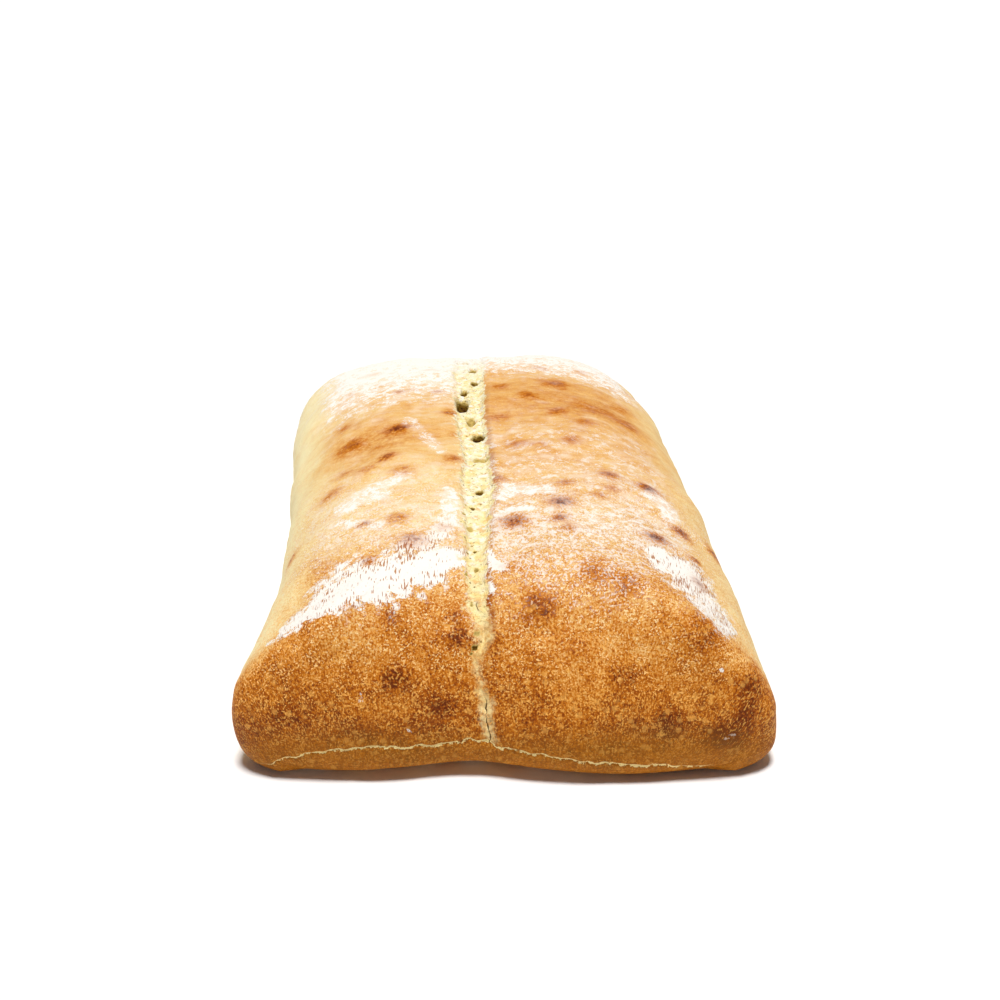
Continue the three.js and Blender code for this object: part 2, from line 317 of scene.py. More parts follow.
# The crack round the foot: how it wanders up and down, and the groove that it lies in.
CRACK_WANDER = [[7, 0.7, 71], [2.4, 0.8, 73]]
CRACK_DEPTH = 0.3
CRACK_HALF_WIDTH = 0.3

# Scorched blisters and spots: [x, y, z, radius, darkness, height], and its last two columns.
SPOT_DARKNESS = -2
SPOT_HEIGHT = -1
SPOTS = [
    [12.5, -103.4, 40.6, 4.4, 0.85, 0.45],
    [-21.1, -113.7, 27, 3.4, 0.85, 0.3],
    [-11.7, -114.1, 19.7, 3.6, 0.45, 0.2],
    [-23, -107.3, 39.1, 2.8, 0.45, 0.15],
    [-7.3, -103.2, 39.2, 2.4, 0.5, 0.2],
    [-14.7, -109.2, 32.9, 3, 0.3, 0.2],
    [-6.4, -106.7, 34.4, 3, 0.8, 0.3],
    [1.6, -107.4, 34, 2.4, 0.8, 0.2],
    [1.6, -109, 31, 1.8, 0.6, 0.2],
    [19.5, -110.4, 32.5, 3.2, 0.45, 0.3],
    [31.3, -113.3, 29.1, 4.2, 0.3, 0.3],
    [42, -117.2, 17.7, 3.6, 0.45, 0.2],
    [62.4, -111.5, 23, 4.4, 0.8, 0.5],
    [61, -114, 17, 3.6, 0.6, 0.3],
    [55.4, -116.4, 12.5, 4.4, 0.85, 0.4],
    [50.8, -109.5, 36.9, 6, 0.4, 0.3],
    [25.3, -97, 46.5, 3.6, 0.5, 0.3],
    [33, -101, 45.1, 3.6, 0.4, 0.2],
    [52.1, -88.8, 39, 2.6, 1, 0.2],
    [4.3, -93.6, 46.3, 2.6, 0.4, 0.2],
    [20.8, -76.2, 48.5, 2.4, 0.6, 0.2],
    [6.8, -70.8, 47.9, 3.6, 1.4, 0.4],
    [19.2, -60.8, 49.1, 3.4, 1.3, 0.4],
    [18.6, -70, 48.8, 2.2, 1.3, 0.2],
    [29.7, -54.3, 48.4, 2.6, 0.5, 0.1],
    [33.6, -39.5, 48.2, 3.2, 0.8, 0.2],
    [44.4, -41.1, 44.9, 3, 1.4, 0.4],
    [51.5, -60.8, 39.9, 3, 1.4, 0.4],
    [43, -73.3, 44.5, 3.4, 1.2, 0.3],
    [53.1, -76.3, 39.4, 1.8, 1.2, 0.3],
    [61, -57, 31.5, 3.2, 1.4, 0.4],
    [20.8, -47.7, 49.1, 2.8, 0.7, 0.2],
    [33.4, -49, 48, 2.6, 0.7, 0.1],
    [2.7, -43.8, 48.6, 2.6, 1, 0.3],
    [-0.2, -26, 48.2, 2, 1, 0.2],
    [8.1, -17.3, 49.3, 3.4, 0.6, 0.2],
    [15.3, -19.2, 49.7, 2.8, 0.5, 0.1],
    [24, -15.7, 49.8, 3.4, 0.6, 0.2],
    [29.9, 2.2, 49.1, 3.2, 0.6, 0.2],
    [43.7, 11.5, 44.3, 4.4, 0.6, 0.2],
    [33.8, 18.4, 47.7, 7.5, 0.45, 0.1],
    [43.8, 31.7, 43.1, 4.4, 0.45, 0.1],
    [21.5, 11.6, 49.5, 3.4, 0.6, 0.2],
    [2.8, 7.9, 48.9, 3.4, 0.6, 0.2],
    [12.5, 26.8, 49.7, 3.6, 0.5, 0.2],
    [3.5, 39.2, 48.8, 3.4, 0.5, 0.2],
    [22.2, 42, 48.6, 4.6, 0.7, 0.2],
    [51.8, 66, 35, 5, 0.6, 0.1],
    [18, 22, 49.6, 22, 0.24, 0],
    [-27.7, -3.2, 48.9, 3.6, 1.2, 0.5],
    [-29.4, -26.5, 48.4, 2.8, 1.2, 0.35],
    [-31, -10, 47.8, 14, 0.45, 0],
    [-42, -6.6, 44.3, 5.5, 0.8, 0.3],
    [-46.1, 11.7, 43.2, 4, 0.6, 0.2],
    [-40.9, -27.8, 44, 4, 0.5, 0.2],
    [-44.1, -39.5, 42, 4, 0.7, 0.3],
    [-34.5, -31.8, 46.8, 3.6, 0.6, 0.2],
    [-23.8, -36.9, 48.8, 3.6, 0.7, 0.2],
    [-52.3, -61.6, 32.4, 3.4, 1.3, 0.3],
    [-32, -68.8, 46.4, 2.2, 1, 0.2],
    [-23.4, -69, 48.2, 3.2, 0.9, 0.3],
    [-18.7, -81.8, 47.8, 3.8, 1.1, 0.3],
    [-11.1, -73.7, 47.4, 2.6, 0.8, 0.2],
    [-28.9, -90, 46.3, 2, 0.9, 0.1],
    [-12.3, 12.9, 48.8, 3, 0.9, 0.2],
    [-9.8, -7.4, 48.4, 2.6, 0.7, 0.1],
    [-10, -28.5, 48.8, 2.8, 1.2, 0.2],
    [-29.9, 35.4, 48.4, 2.4, 0.8, 0.1],
    [-17.7, 35.8, 48.2, 2.2, 0.8, 0.1],
    [-24.7, 37.3, 48.4, 1.8, 0.5, 0.1],
    [-47.2, 44.3, 44.1, 3, 0.5, 0.1],
    [-41.7, 63.5, 45.1, 3.4, 0.5, 0.1],
    [-20.9, 61.9, 47.4, 2.4, 0.4, 0.1],
    [17.8, 64.8, 47.2, 3.2, 0.5, 0.2],
    [32, 66.9, 45.1, 3.4, 0.5, 0.2],
]

# How brown the crust is on the left and right lobe by place along the profile: [along, left, right].
BROWNING = [
    [-165, 0.8, 0.8],
    [-152, 0.83, 0.79],
    [-140, 0.75, 0.69],
    [-124, 0.64, 0.61],
    [-110, 0.56, 0.55],
    [-95, 0.49, 0.51],
    [-80, 0.37, 0.43],
    [-62, 0.3, 0.41],
    [-40, 0.3, 0.42],
    [-12, 0.34, 0.42],
    [20, 0.38, 0.41],
    [45, 0.37, 0.42],
    [75, 0.32, 0.42],
    [110, 0.25, 0.3],
    [160, 0.4, 0.4],
]

# How much painted shade darkens the lip of crust to the right of the crumb, by place along the profile.
LIP_SHADE = [
    [-135, 0],
    [-122, 0.35],
    [-112, 0.75],
    [-98, 0.7],
    [-90, 0.25],
    [-60, 0.35],
    [-30, 0.5],
    [20, 0.3],
    [60, 0],
]
# Distance in from the torn edge at which the lip's painted shade begins and is full.
LIP_SHADE_EDGE = (-2.2, -2.2 / 3)

# The sides stay paler: how brown they are, left and right, where across and along the loaf they begin, and
# how uneven that line is: [cell size, distance, seed].
LEFT_PALE = 0.03
RIGHT_PALE = 0.26
PALE_START = (45, 61)
PALE_NEAR = (-112, -98)
PALE_UNEVEN = [[11, 3, 101], [4, 2, 103]]

# How much browner the lowest crust is.
GROUND_BROWN = 0.1
# Where across the loaf the left lobe gives way to the right.
LOBE_DIVIDE = (-9, -2)

# Flour strokes over the crust: a chain of [across, along the profile, half width] with the amount.
FLOUR_STROKES = [
    (0.72, [[-51, -121.5, 1.6], [-47, -117.5, 2.2]]),
    (0.95, [[-46, -116.5, 3], [-42, -112, 5], [-36, -106.5, 8.5], [-28, -102, 11.5]]),
    (1, [[-28, -102, 11.5], [-18, -97, 10.5], [-9.8, -91, 7]]),
    (0.74, [[-20, -86, 5], [-13, -80, 4.6], [-10, -68, 3.2], [-10.6, -50, 2.2]]),
    (0.74, [[-38, -59, 4], [-33, -52, 7], [-29, -45, 4], [-25, -41, 4]]),
    (0.6, [[-38, -68, 3], [-29, -72, 4.5]]),
    (0.8, [[3.6, -57, 1.8], [6.5, -50, 4.2], [16, -52, 3]]),
    (0.88, [[3.2, -66.5, 2.2], [6, -63.5, 2.6], [11, -64, 2]]),
    (0.95, [[0.2, -86, 0.9], [0.6, -90.5, 1.8], [2.8, -95, 2.4]]),
    (0.95, [[0.4, -101.5, 1], [1.4, -104, 1.3]]),
    (1, [[42, -84, 3], [46.5, -90, 6], [50, -97, 6]]),
    (0.8, [[50, -97, 7.5], [58, -116, 5]]),
    (0.45, [[-29.6, -118, 0.9], [-29.2, -121.5, 1]]),
    (0.47, [[-29.1, -139, 0.8], [-29.3, -141.5, 1.1]]),
    (0.6, [[-18.6, -149.8, 0.6], [-17.9, -150.4, 0.6]]),
    (1, [[55.4, -132.2, 0.7], [55.8, -132.8, 0.7]]),
    (0.55, [[55.6, -151.6, 0.7], [57.6, -150.8, 1]]),
    (0.72, [[44, -46, 2], [47.5, -54, 4.2], [50.5, -61, 2]]),
    (0.62, [[-34, 40, 4], [-31, 30, 5], [-33, 20, 2]]),
    (0.58, [[-25, 4, 4], [-14, -22, 3]]),
]

# The even dusting of flour on the left and right lobe by place along the profile: [along, left, right].
FLOUR_DUST = [
    [-165, 0, 0],
    [-140, 0.03, 0.05],
    [-124, 0.12, 0.2],
    [-110, 0.22, 0.34],
    [-92, 0.36, 0.44],
    [-76, 0.42, 0.47],
    [-45, 0.4, 0.44],
    [-12, 0.32, 0.42],
    [14, 0.36, 0.34],
    [28, 0.46, 0.3],
    [40, 0.6, 0.32],
    [52, 0.74, 0.4],
    [64, 0.84, 0.58],
    [80, 0.92, 0.8],
    [120, 0.92, 0.92],
    [160, 0.6, 0.6],
]
# The share of the dusting that lies on the sides.
SIDE_DUST_SHARE = 0.4
# The most flour that a stroke leaves, the shares of its half width from all to none, and how uneven that
# width is: [cell size, share, seed].
STROKE_FLOUR = 0.9
STROKE_EDGE = (0.25, 1.75)
STROKE_UNEVEN = [[7, 0.5, 91], [2.6, 0.5, 97]]

# Values past this many millimetres aren't told apart, and below this share the split has no crumb.
FAR_OFF = 9
SPLIT_SHOWN = 0.02


# ---------------------------------------------------------------- helpers for the shape


def lerp(start, end, share):
    return start + (end - start) * share


def smoothstep(value, low, high):
    share = np.clip((value - low) / (high - low), 0, 1)
    return share * share * (3 - 2 * share)


def bell(distance, reach):
    return np.exp(-((distance / reach) ** 2))


def eased(stations, at):
    """The values at a place in a table of stations, eased from one station to the next, one row a value."""
    table = np.array(stations, float)
    place = np.clip(at, table[0, 0], table[-1, 0])
    last = np.clip(np.searchsorted(table[:, 0], place), 1, len(table) - 1)
    start, end = table[last - 1], table[last]
    share = smoothstep(place, start[..., 0], end[..., 0])[..., None]
    return np.moveaxis(lerp(start, end, share)[..., 1:], -1, 0)


def lumpy(points, cell, seed):
    """Smooth noise between about -1 and 1 with bumps a cell wide."""
    return np.array([noise.noise(Vector(point)) for point in points / cell + seed])


def layered(points, layers):
    """The sum of smooth noise in layers [cell, height, seed]."""
    return sum(height * lumpy(points, cell, seed) for cell, height, seed in layers)


def wander(along, layers):
    """A line's uneven drift: the sum of noise layers [cell, distance, seed] at places along it."""
    total = np.zeros_like(along)
    for cell, distance, seed in layers:
        points = np.stack([along, np.full_like(along, seed), np.zeros_like(along)], 1)
        total += distance * lumpy(points, cell, seed)
    return total


# ---------------------------------------------------------------- the body's surface


def bluntness(b):
    return np.clip((-b - BLUNT_START) / (1 - BLUNT_START), 0, 1) ** 2


def endness(share):
    return np.clip(share, 0, 1) ** END_POWER


def wall_reach(b, level):
    """How far a level of the wall has come out to the widest line, and how far it is tucked in below."""
    crown_power = lerp(CROWN_POWER, BLUNT_CROWN_POWER, bluntness(b))
    out = np.cos(CROWN_EDGE_ANGLE * np.maximum(level, 0)) ** (2 / crown_power)
    drop = np.clip(-level, 0, 1)
    tucked = 1 - (1 - drop**FOOT_POWER) ** (1 / FOOT_POWER)
    return crown_power, out, drop, tucked


def wall_half_width(out, tucked):
    return HALF_WIDTH - SIDE_SHOULDER * (1 - out) - TUCK * tucked


def foot_lift(x, y_share):
    return FOOT_LIFT * bell(x - LIFT_MIDDLE, LIFT_REACH) * endness(-y_share)


def bend(x, y, z):
    """Leans, waists and flares the plan, and pulls the ends in and up at the split."""
    x_share = x / HALF_WIDTH
    y_share = y / HALF_LENGTH
    waist = LEFT_WAIST * ((1 - x_share) / 2) * np.sin(np.pi * (y_share - WAIST_START))
    flare = FLARE * np.clip(-y_share - FLARE_START, 0, 1)
    bent_x = x * (1 + waist + flare) + SKEW * y
    notch = NOTCH * bell(bent_x - NOTCH_MIDDLE, NOTCH_REACH)
    bent_y = y + notch * (endness(-y_share) - FAR_NOTCH_SHARE * endness(y_share))
    bent_z = z + foot_lift(bent_x, y_share) * (1 - z / HEIGHT) ** LIFT_POWER
    return np.stack([bent_x, bent_y, bent_z], 1)


def body_point(a, b, level):
    """Points of the plain body: a and b run from -1 to 1 over the plan, and level runs down the wall."""
    crown_power, out, drop, tucked = wall_reach(b, level)
    corner_share = smoothstep(np.abs(a), BLUNT_CORNER_START, 1)
    blunt_shoulder = lerp(BLUNT_SHOULDER, BLUNT_CORNER_SHOULDER, corner_share)
    end_shoulder = np.where(b < 0, blunt_shoulder, ROUND_SHOULDER)
    x = a * wall_half_width(out, tucked)
    y = b * (HALF_LENGTH - end_shoulder * (1 - out) - TUCK * tucked)

    side_share = (np.abs(x) - (HALF_WIDTH - SIDE_SHOULDER)) / SIDE_SHOULDER
    end_share = (np.abs(y) - (HALF_LENGTH - end_shoulder)) / end_shoulder
    at_corner = (side_share > 0) & (end_share > 0)
    power = lerp(CORNER_POWER, FOOT_CORNER_POWER, drop)
    safe_side = np.where(at_corner, side_share, 1)
    safe_end = np.where(at_corner, end_share, 1)
    pull = np.maximum(safe_side, safe_end) / (safe_side**power + safe_end**power) ** (1 / power)
    round_x = np.sign(x) * (HALF_WIDTH - SIDE_SHOULDER * (1 - side_share * pull))
    round_y = np.sign(y) * (HALF_LENGTH - end_shoulder * (1 - end_share * pull))
    x = np.where(at_corner, round_x, x)
    y = np.where(at_corner, round_y, y)

    belly = lerp(SIDE_BELLY, BLUNT_BELLY, bluntness(b))
    end_fall = np.where(y < 0, CROWN_FALL_BLUNT, CROWN_FALL_ROUND)
    crown = HEIGHT * (1 - CROWN_FALL_SIDE * (x / HALF_WIDTH) ** 2) * (1 - end_fall * (y / HALF_LENGTH) ** 2)
    out_share = np.where(level < 1, out, np.clip(np.maximum(side_share, end_share), 0, 1))
    rise = np.maximum(0, 1 - out_share**crown_power) ** (1 / crown_power)
    z = np.where(level > 0, lerp(belly, crown, rise), lerp(belly, FOOT_HEIGHT, drop))
    return bend(x, y, z)


def along_profile(point):
    """Distance along the lengthwise profile, which goes down both ends."""
    return point[:, 1] + np.sign(point[:, 1]) * np.maximum(0, PROFILE_TOP - point[:, 2])


def outward(point):
    """The direction in which relief stands out of the body."""
    x, y, z = point.T
    above = HEIGHT - SIDE_BELLY
    up = (z - SIDE_BELLY) / np.where(z > SIDE_BELLY, above, SIDE_BELLY)
    power = OUTWARD_POWER - 1
    slope_x = (OUTWARD_POWER / HALF_WIDTH) * (x / HALF_WIDTH) ** power
    slope_y = (OUTWARD_POWER / HALF_LENGTH) * (y / HALF_LENGTH) ** power
    slope = np.stack([slope_x, slope_y, 2 * up / above], 1)
    return slope / np.linalg.norm(slope, axis=1, keepdims=True)


def column_place(column, b, level):
    """Place across the plan, from -1 to 1, of a column. The middle columns crowd over the split."""
    side_columns = (COLUMNS - SPLIT_COLUMNS) / 2
    spine = body_point(np.zeros_like(b), b, level)
    offset, half_band = eased(SPLIT, along_profile(spine))[:2]
    _, out, _, tucked = wall_reach(b, level)
    half_width = wall_half_width(out, tucked)
    left = (offset - half_band - SPLIT_COLUMN_MARGIN) / half_width
    right = (offset + half_band + SPLIT_COLUMN_MARGIN) / half_width
    from_left = lerp(-1, left, column / side_columns)
    from_right = lerp(1, right, (COLUMNS - column) / side_columns)
    between = lerp(left, right, (column - side_columns) / SPLIT_COLUMNS)
    outer = np.where(column <= side_columns, from_left, from_right)
    inside = (column > side_columns) & (column < COLUMNS - side_columns)
    return np.where(inside, between, outer)


def ring_level(column, b, ring):
    """The level of a ring of the wall, counted down from the edge of the top."""
    widest = body_point(column_place(column, b, np.zeros_like(b)), b, np.zeros_like(b))
    belly = lerp(SIDE_BELLY, BLUNT_BELLY, bluntness(b))
    crack = eased(CRACK, widest[:, 0])[0]
    upper, lower = crack + CRACK_LIPS[0], crack - CRACK_LIPS[1]
    foot = np.full_like(b, FOOT_HEIGHT)
    marks = np.stack([belly, upper, crack + CRACK_REACH, crack, crack - CRACK_REACH, lower, foot])
    stops = np.cumsum((0,) + FOOT_STEPS)
    place = np.interp(ring - CROWN_RINGS, stops, np.arange(len(stops)))
    start = np.minimum(place.astype(int), len(FOOT_STEPS) - 1)
    rows = np.arange(len(b))
    height = lerp(marks[start, rows], marks[start + 1, rows], place - start)
    return np.where(ring <= CROWN_RINGS, 1 - ring / CROWN_RINGS, (height - belly) / (belly - FOOT_HEIGHT))


# ---------------------------------------------------------------- relief and what it marks


class Skin:
    """The loaf's surface at its mesh's vertices, with the values that its material reads."""

    def __init__(self, column, b, ring, shape):
        level = ring_level(column, b, ring)
        self.a = column_place(column, b, level)
        self.b = b
        self.ring = ring
        self.shape = shape
        self.point = body_point(self.a, b, level)
        self.x, self.y, self.z = self.point.T
        self.along = along_profile(self.point)
        self.settled = smoothstep(self.z, 0, SETTLE_HEIGHT)
        offset, self.half_band, self.valley_depth, self.band_depth = eased(SPLIT, self.along)
        self.across = self.x - offset - SKEW * self.y
        near = smoothstep(self.along, *SPLIT_FADE_NEAR)
        self.split_ends = near * (1 - smoothstep(self.along, *SPLIT_FADE_FAR))
        self.band_edge = self.torn_edge()
        self.crumb = smoothstep(self.band_edge, *BAND_SLOPE) * self.split_ends
        self.rift_half_width, self.beside_rift, self.off_rift = self.rift()
        self.off_crack, self.crack_shown = self.crack()
        aside = np.abs(self.x - SKEW * self.y) + layered(self.point, PALE_UNEVEN)
        beside = smoothstep(aside, *PALE_START)
        self.beside = beside * smoothstep(self.y, *PALE_NEAR)

    def torn_edge(self):
        """Distance in from the torn edge of the crust over the crumb, positive on the crumb."""
        drift = [[cell, distance * self.shape.torn_edges, seed] for cell, distance, seed in TORN_EDGE]
        calm = smoothstep(self.half_band, *TORN_BAND)
        right = self.half_band + calm * wander(self.along, drift) - self.across
        left = self.half_band + calm * wander(self.along + LENGTH, drift) + self.across
        return np.minimum(left, right)

    def torn(self):
        """The same distance as a share of how gradually the crust gives way to crumb."""
        softness = np.where(self.across < 0, LEFT_SOFTNESS, RIGHT_SOFTNESS)
        softness = lerp(NEAR_SOFTNESS, softness, smoothstep(self.along, *SOFT_NEAR))
        return np.clip(self.band_edge / softness, -FAR_OFF, FAR_OFF)

    def rift(self):
        """Half width of the rift, how much crumb shows beside it, and distance from it."""
        half_width, beside = eased(RIFT, self.along)
        return half_width, beside, self.across - wander(self.along, RIFT_WANDER)

    def crack(self):
        """Height above the crack round the foot, and how much of it shows."""
        middle = eased(CRACK, self.x)[0] + wander(self.x, CRACK_WANDER)
        shown = 1 - smoothstep(np.abs(self.x), CRACK_END - CRACK_FADE, CRACK_END)
        return self.z - middle, np.where(self.y > CRACK_FACE, 0, shown)

    def holes(self, column, edge):
        """Sum of the depth of the holes and pits, or the darkness of their painted shade, which falls off
        over an edge.
        """
        total = np.zeros_like(self.x)
        uneven = 1 + layered(self.point, HOLE_UNEVEN)
        for hole in HOLES:
            hole_x, hole_y, half_width, half_length = hole[:4]
            distance = np.hypot((self.x - hole_x) / half_width, (self.y - hole_y) / half_length)
            total += hole[column] * (1 - smoothstep(distance * uneven, *edge))
        total = np.where(self.z < HEIGHT / 2, 0, total)
        for pit in PITS:
            pit_x, pit_along, radius = pit[:3]
            distance = np.hypot(self.x - pit_x, (self.along - pit_along) * SLOPE_SHARE) / radius
            total += pit[column] * (1 - smoothstep(distance * uneven, *edge))
        return total

    def swells(self):
        total = np.zeros_like(self.x)
        for x, y, z, radius, height in SWELLS:
            distance = np.linalg.norm(self.point - np.array([x, y, z]), axis=1)
            total += height * bell(distance, radius)
        for kx, ky, kz, phase, height in WAVES:
            total += height * np.sin(kx * self.x + ky * self.y + kz * self.z + phase)
        return total

    def spots(self, column):
        """Sum of the scorched spots' darkness or height."""
        total = np.zeros_like(self.x)
        for spot in SPOTS:
            distance = np.linalg.norm(self.point - np.array(spot[:3]), axis=1)
            total += spot[column] * bell(distance, spot[3])
        return total

    def split_relief(self):
        """The valley between the lobes, the sunk open band and its raised lips."""
        valley = -self.valley_depth * bell(self.across, VALLEY_REACH)
        band = -self.band_depth * smoothstep(self.band_edge, *BAND_SLOPE)
        right = RIGHT_LIP[0] * bell(self.across - self.half_band - RIGHT_LIP[1], RIGHT_LIP[1])
        left = LEFT_LIP[0] * bell(self.across + self.half_band + LEFT_LIP[1], LEFT_LIP[1])
        return self.split_ends * (valley + band + right + left)

    def crust_relief(self):
        blisters = self.shape.blisters * self.spots(SPOT_HEIGHT)
        lumps = self.shape.lumps * layered(self.point, LUMPS)
        wrinkles = WRINKLE_HEIGHT * lumpy(self.point / WRINKLE_CELLS, 1, WRINKLE_SEED)
        return blisters + lumps + smoothstep(self.y, *WRINKLE_START) * wrinkles

    def relief(self):
        """How far the skin stands out of the plain body, in millimetres."""
        broad = self.swells() + self.split_relief() - self.holes(DEPTH, HOLE_WALL)
        crumb = self.shape.crumb_roughness * layered(self.point, CRUMB_LUMPS)
        fine = lerp(self.crust_relief(), crumb, self.crumb)
        rift = -RIFT_DEPTH * smoothstep(self.rift_half_width - np.abs(self.off_rift), *RIFT_EDGE)
        crack = -CRACK_DEPTH * bell(self.off_crack, CRACK_HALF_WIDTH)
        return self.settled * (broad + fine + rift) + self.crack_shown * crack

    def place(self):
        """The vertices' places, in millimetres, with the base drawn in to its flat rectangle."""
        moved = self.point + outward(self.point) * self.relief()[:, None]
        contact_y = lerp(CONTACT_NEAR, CONTACT_FAR, (self.b + 1) / 2)
        contact = np.stack([self.a * CONTACT_HALF_WIDTH, contact_y, np.zeros_like(self.b)], 1)
        share = np.clip(self.ring - FOOT_RINGS, 0, 1)[:, None]
        return lerp(moved, contact, share)

    def flow(self):
        """Coordinates that follow the crust: across, and along the profile, in millimetres."""
        side = np.sign(self.x) * np.maximum(0, PROFILE_TOP - self.z)
        beside = smoothstep(np.abs(self.x), HALF_WIDTH - SIDE_SHOULDER, HALF_WIDTH)
        return np.stack([self.x + side * beside, self.along, np.zeros_like(self.x)], 1)

    def browning(self):
        left, right = eased(BROWNING, self.along)
        brown = lerp(left, right, smoothstep(self.x, *LOBE_DIVIDE))
        pale = np.where(self.x < 0, LEFT_PALE, RIGHT_PALE)
        brown = lerp(brown, pale, self.beside)
        return brown + GROUND_BROWN * (1 - self.settled) + self.shape.browning

    def flour(self):
        place = np.stack([self.x, self.along], 1)
        left, right = eased(FLOUR_DUST, self.along)
        amount = lerp(left, right, smoothstep(self.x, *LOBE_DIVIDE))
        amount = amount * lerp(1, SIDE_DUST_SHARE, self.beside)
        wobble = 1 + layered(self.point, STROKE_UNEVEN)
        for strength, chain in FLOUR_STROKES:
            chain = np.array(chain)
            for start, end in zip(chain[:-1], chain[1:]):
                step = end[:2] - start[:2]
                share = np.clip((place - start[:2]) @ step / (step @ step), 0, 1)
                nearest = start[:2] + share[:, None] * step
                half_width = lerp(start[2], end[2], share) * wobble
                distance = np.linalg.norm(place - nearest, axis=1) / half_width
                cover = STROKE_FLOUR * strength * (1 - smoothstep(distance, *STROKE_EDGE))
                amount = np.maximum(amount, cover)
        return amount * self.shape.flour

    def rim(self):
        """Painted shade on the lip of crust to the right of the crumb, towards the blunt end."""
        shown = eased(LIP_SHADE, self.along)[0]
        beside = smoothstep(self.band_edge, *LIP_SHADE_EDGE)
        return np.where(self.across > 0, shown * beside, 0)


# ---------------------------------------------------------------- the mesh


def loaf_topology():
    """The top as a grid, its edge extruded down the walls, and the base: column, row and ring a vertex."""
    bm = bmesh.new()
    column = bm.verts.layers.float.new("column")
    row = bm.verts.layers.float.new("row")
    ring = bm.verts.layers.float.new("ring")
    bmesh.ops.create_grid(bm, x_segments=COLUMNS, y_segments=ROWS, size=1)
    for vert in bm.verts:
        vert[column] = round((vert.co.x + 1) / 2 * COLUMNS)
        vert[row] = vert.co.y

    edge = [e for e in bm.edges if e.is_boundary]
    for step in range(1, CONTACT_RING + 1):
        made = bmesh.ops.extrude_edge_only(bm, edges=edge)["geom"]
        for vert in (g for g in made if isinstance(g, bmesh.types.BMVert)):
            vert[ring] = step
        edge = [g for g in made if isinstance(g, bmesh.types.BMEdge) and g.is_boundary]
    bmesh.ops.contextual_create(bm, geom=edge)

    side_columns = (COLUMNS - SPLIT_COLUMNS) / 2

    def fine(vert):
        over_split = side_columns <= vert[column] <= COLUMNS - side_columns
        on_wall = vert[ring] < FOOT_RINGS
        return on_wall and (vert[row] <= FINE_FACE or over_split)

    divided = [e for e in bm.edges if all(fine(vert) for vert in e.verts)]
    bmesh.ops.subdivide_edges(bm, edges=divided, cuts=1, use_grid_fill=True)
    for face in bm.faces:
        face.smooth = True
    return bm


def read_layer(mesh, name):
    values = np.zeros(len(mesh.vertices), np.float32)
    mesh.attributes[name].data.foreach_get("value", values)
    return values.astype(float)


def write_layer(mesh, name, values):
    layer = mesh.attributes.new(name, "FLOAT", "POINT")
    layer.data.foreach_set("value", values.astype(np.float32))


def fitted(points):
    """Points in metres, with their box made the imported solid's own."""
    low, high = points.min(0), points.max(0)
    cad_low, cad_high = (np.array(corner) for corner in LOAF_BOX)
    return cad_low + (points - low) / (high - low) * (cad_high - cad_low)


def loaf_piece(shape):
    bm = loaf_topology()
    mesh = bpy.data.meshes.new("ciabatta_crust")
    bm.to_mesh(mesh)
    bm.free()

    column, row, ring = (read_layer(mesh, name) for name in ("column", "row", "ring"))
    skin = Skin(column, row, ring, shape)
    mesh.vertices.foreach_set("co", fitted(skin.place()).astype(np.float32).ravel())
    for name in ("column", "row", "ring"):
        mesh.attributes.remove(mesh.attributes[name])

    flow = mesh.attributes.new("flow", "FLOAT_VECTOR", "POINT")
    flow.data.foreach_set("vector", skin.flow().astype(np.float32).ravel())
    layers = {
        "torn": np.where(skin.split_ends > SPLIT_SHOWN, skin.torn(), -FAR_OFF),
        "rift_half_width": skin.rift_half_width,
        "beside_rift": skin.beside_rift,
        "off_rift": np.clip(skin.off_rift, -FAR_OFF, FAR_OFF),
        "off_crack": np.clip(skin.off_crack, -FAR_OFF, FAR_OFF),
        "crack_shown": skin.crack_shown,
        # The painted shade in the holes and pits.
        "hollow": skin.holes(SHADE_DARKNESS, HOLE_SHADE),
        "brown": skin.browning(),
        "spot": skin.spots(SPOT_DARKNESS),
        "flour": skin.flour(),
        "rim": skin.rim(),
        "base": smoothstep(ring, FOOT_RINGS - 1, FOOT_RINGS),
    }
    for name, values in layers.items():
        write_layer(mesh, name, values)

    bm = bmesh.new()
    bm.from_mesh(mesh)
    bmesh.ops.recalc_face_normals(bm, faces=bm.faces)
    bm.to_mesh(mesh)
    bm.free()
    mesh.update()
    piece = bpy.data.objects.new("ciabatta_crust", mesh)
    bpy.context.scene.collection.objects.link(piece)
    return piece


# ---------------------------------------------------------------- shader expressions


def srgb(red, green, blue):
    """The linear colour of a screen colour whose channels run from 0 to 255."""

    def linear(value):
        share = value / 255
        return share / 12.92 if share <= 0.04045 else ((share + 0.055) / 1.055) ** 2.4

    return (linear(red), linear(green), linear(blue))


class Signal:
    """A node's output. Python's operators on it add Math nodes."""

    def __init__(self, tree, socket):
        self.tree = tree
        self.socket = socket

    def math(self, operation, *values):
        settings = {"operation": operation}
        return self.tree.node("ShaderNodeMath", settings, dict(enumerate(values)))

    def __add__(self, other):
        return self.math("ADD", self, other)

    def __sub__(self, other):
        return self.math("SUBTRACT", self, other)

    def __mul__(self, other):
        return self.math("MULTIPLY", self, other)

    def __radd__(self, other):
        return self.math("ADD", other, self)

    def __rsub__(self, other):
        return self.math("SUBTRACT", other, self)

    def __rmul__(self, other):
        return self.math("MULTIPLY", other, self)

    def most(self, other):
        return self.math("MAXIMUM", self, other)

    def size(self):
        """The value without its sign."""
        return self.math("ABSOLUTE", self)

    def step(self, low, high):
        """0 at low and 1 at high, eased between; low may be the larger."""
        settings = {"interpolation_type": "SMOOTHSTEP"}
        if low < high:
            return self.tree.node("ShaderNodeMapRange", settings, {0: self, 1: low, 2: high})
        return 1 - self.tree.node("ShaderNodeMapRange", settings, {0: self, 1: high, 2: low})


# The sockets of a Mix node that mixes colours.
MIX_SHARE = 0
MIX_FIRST = 6
MIX_SECOND = 7
MIX_RESULT = 2


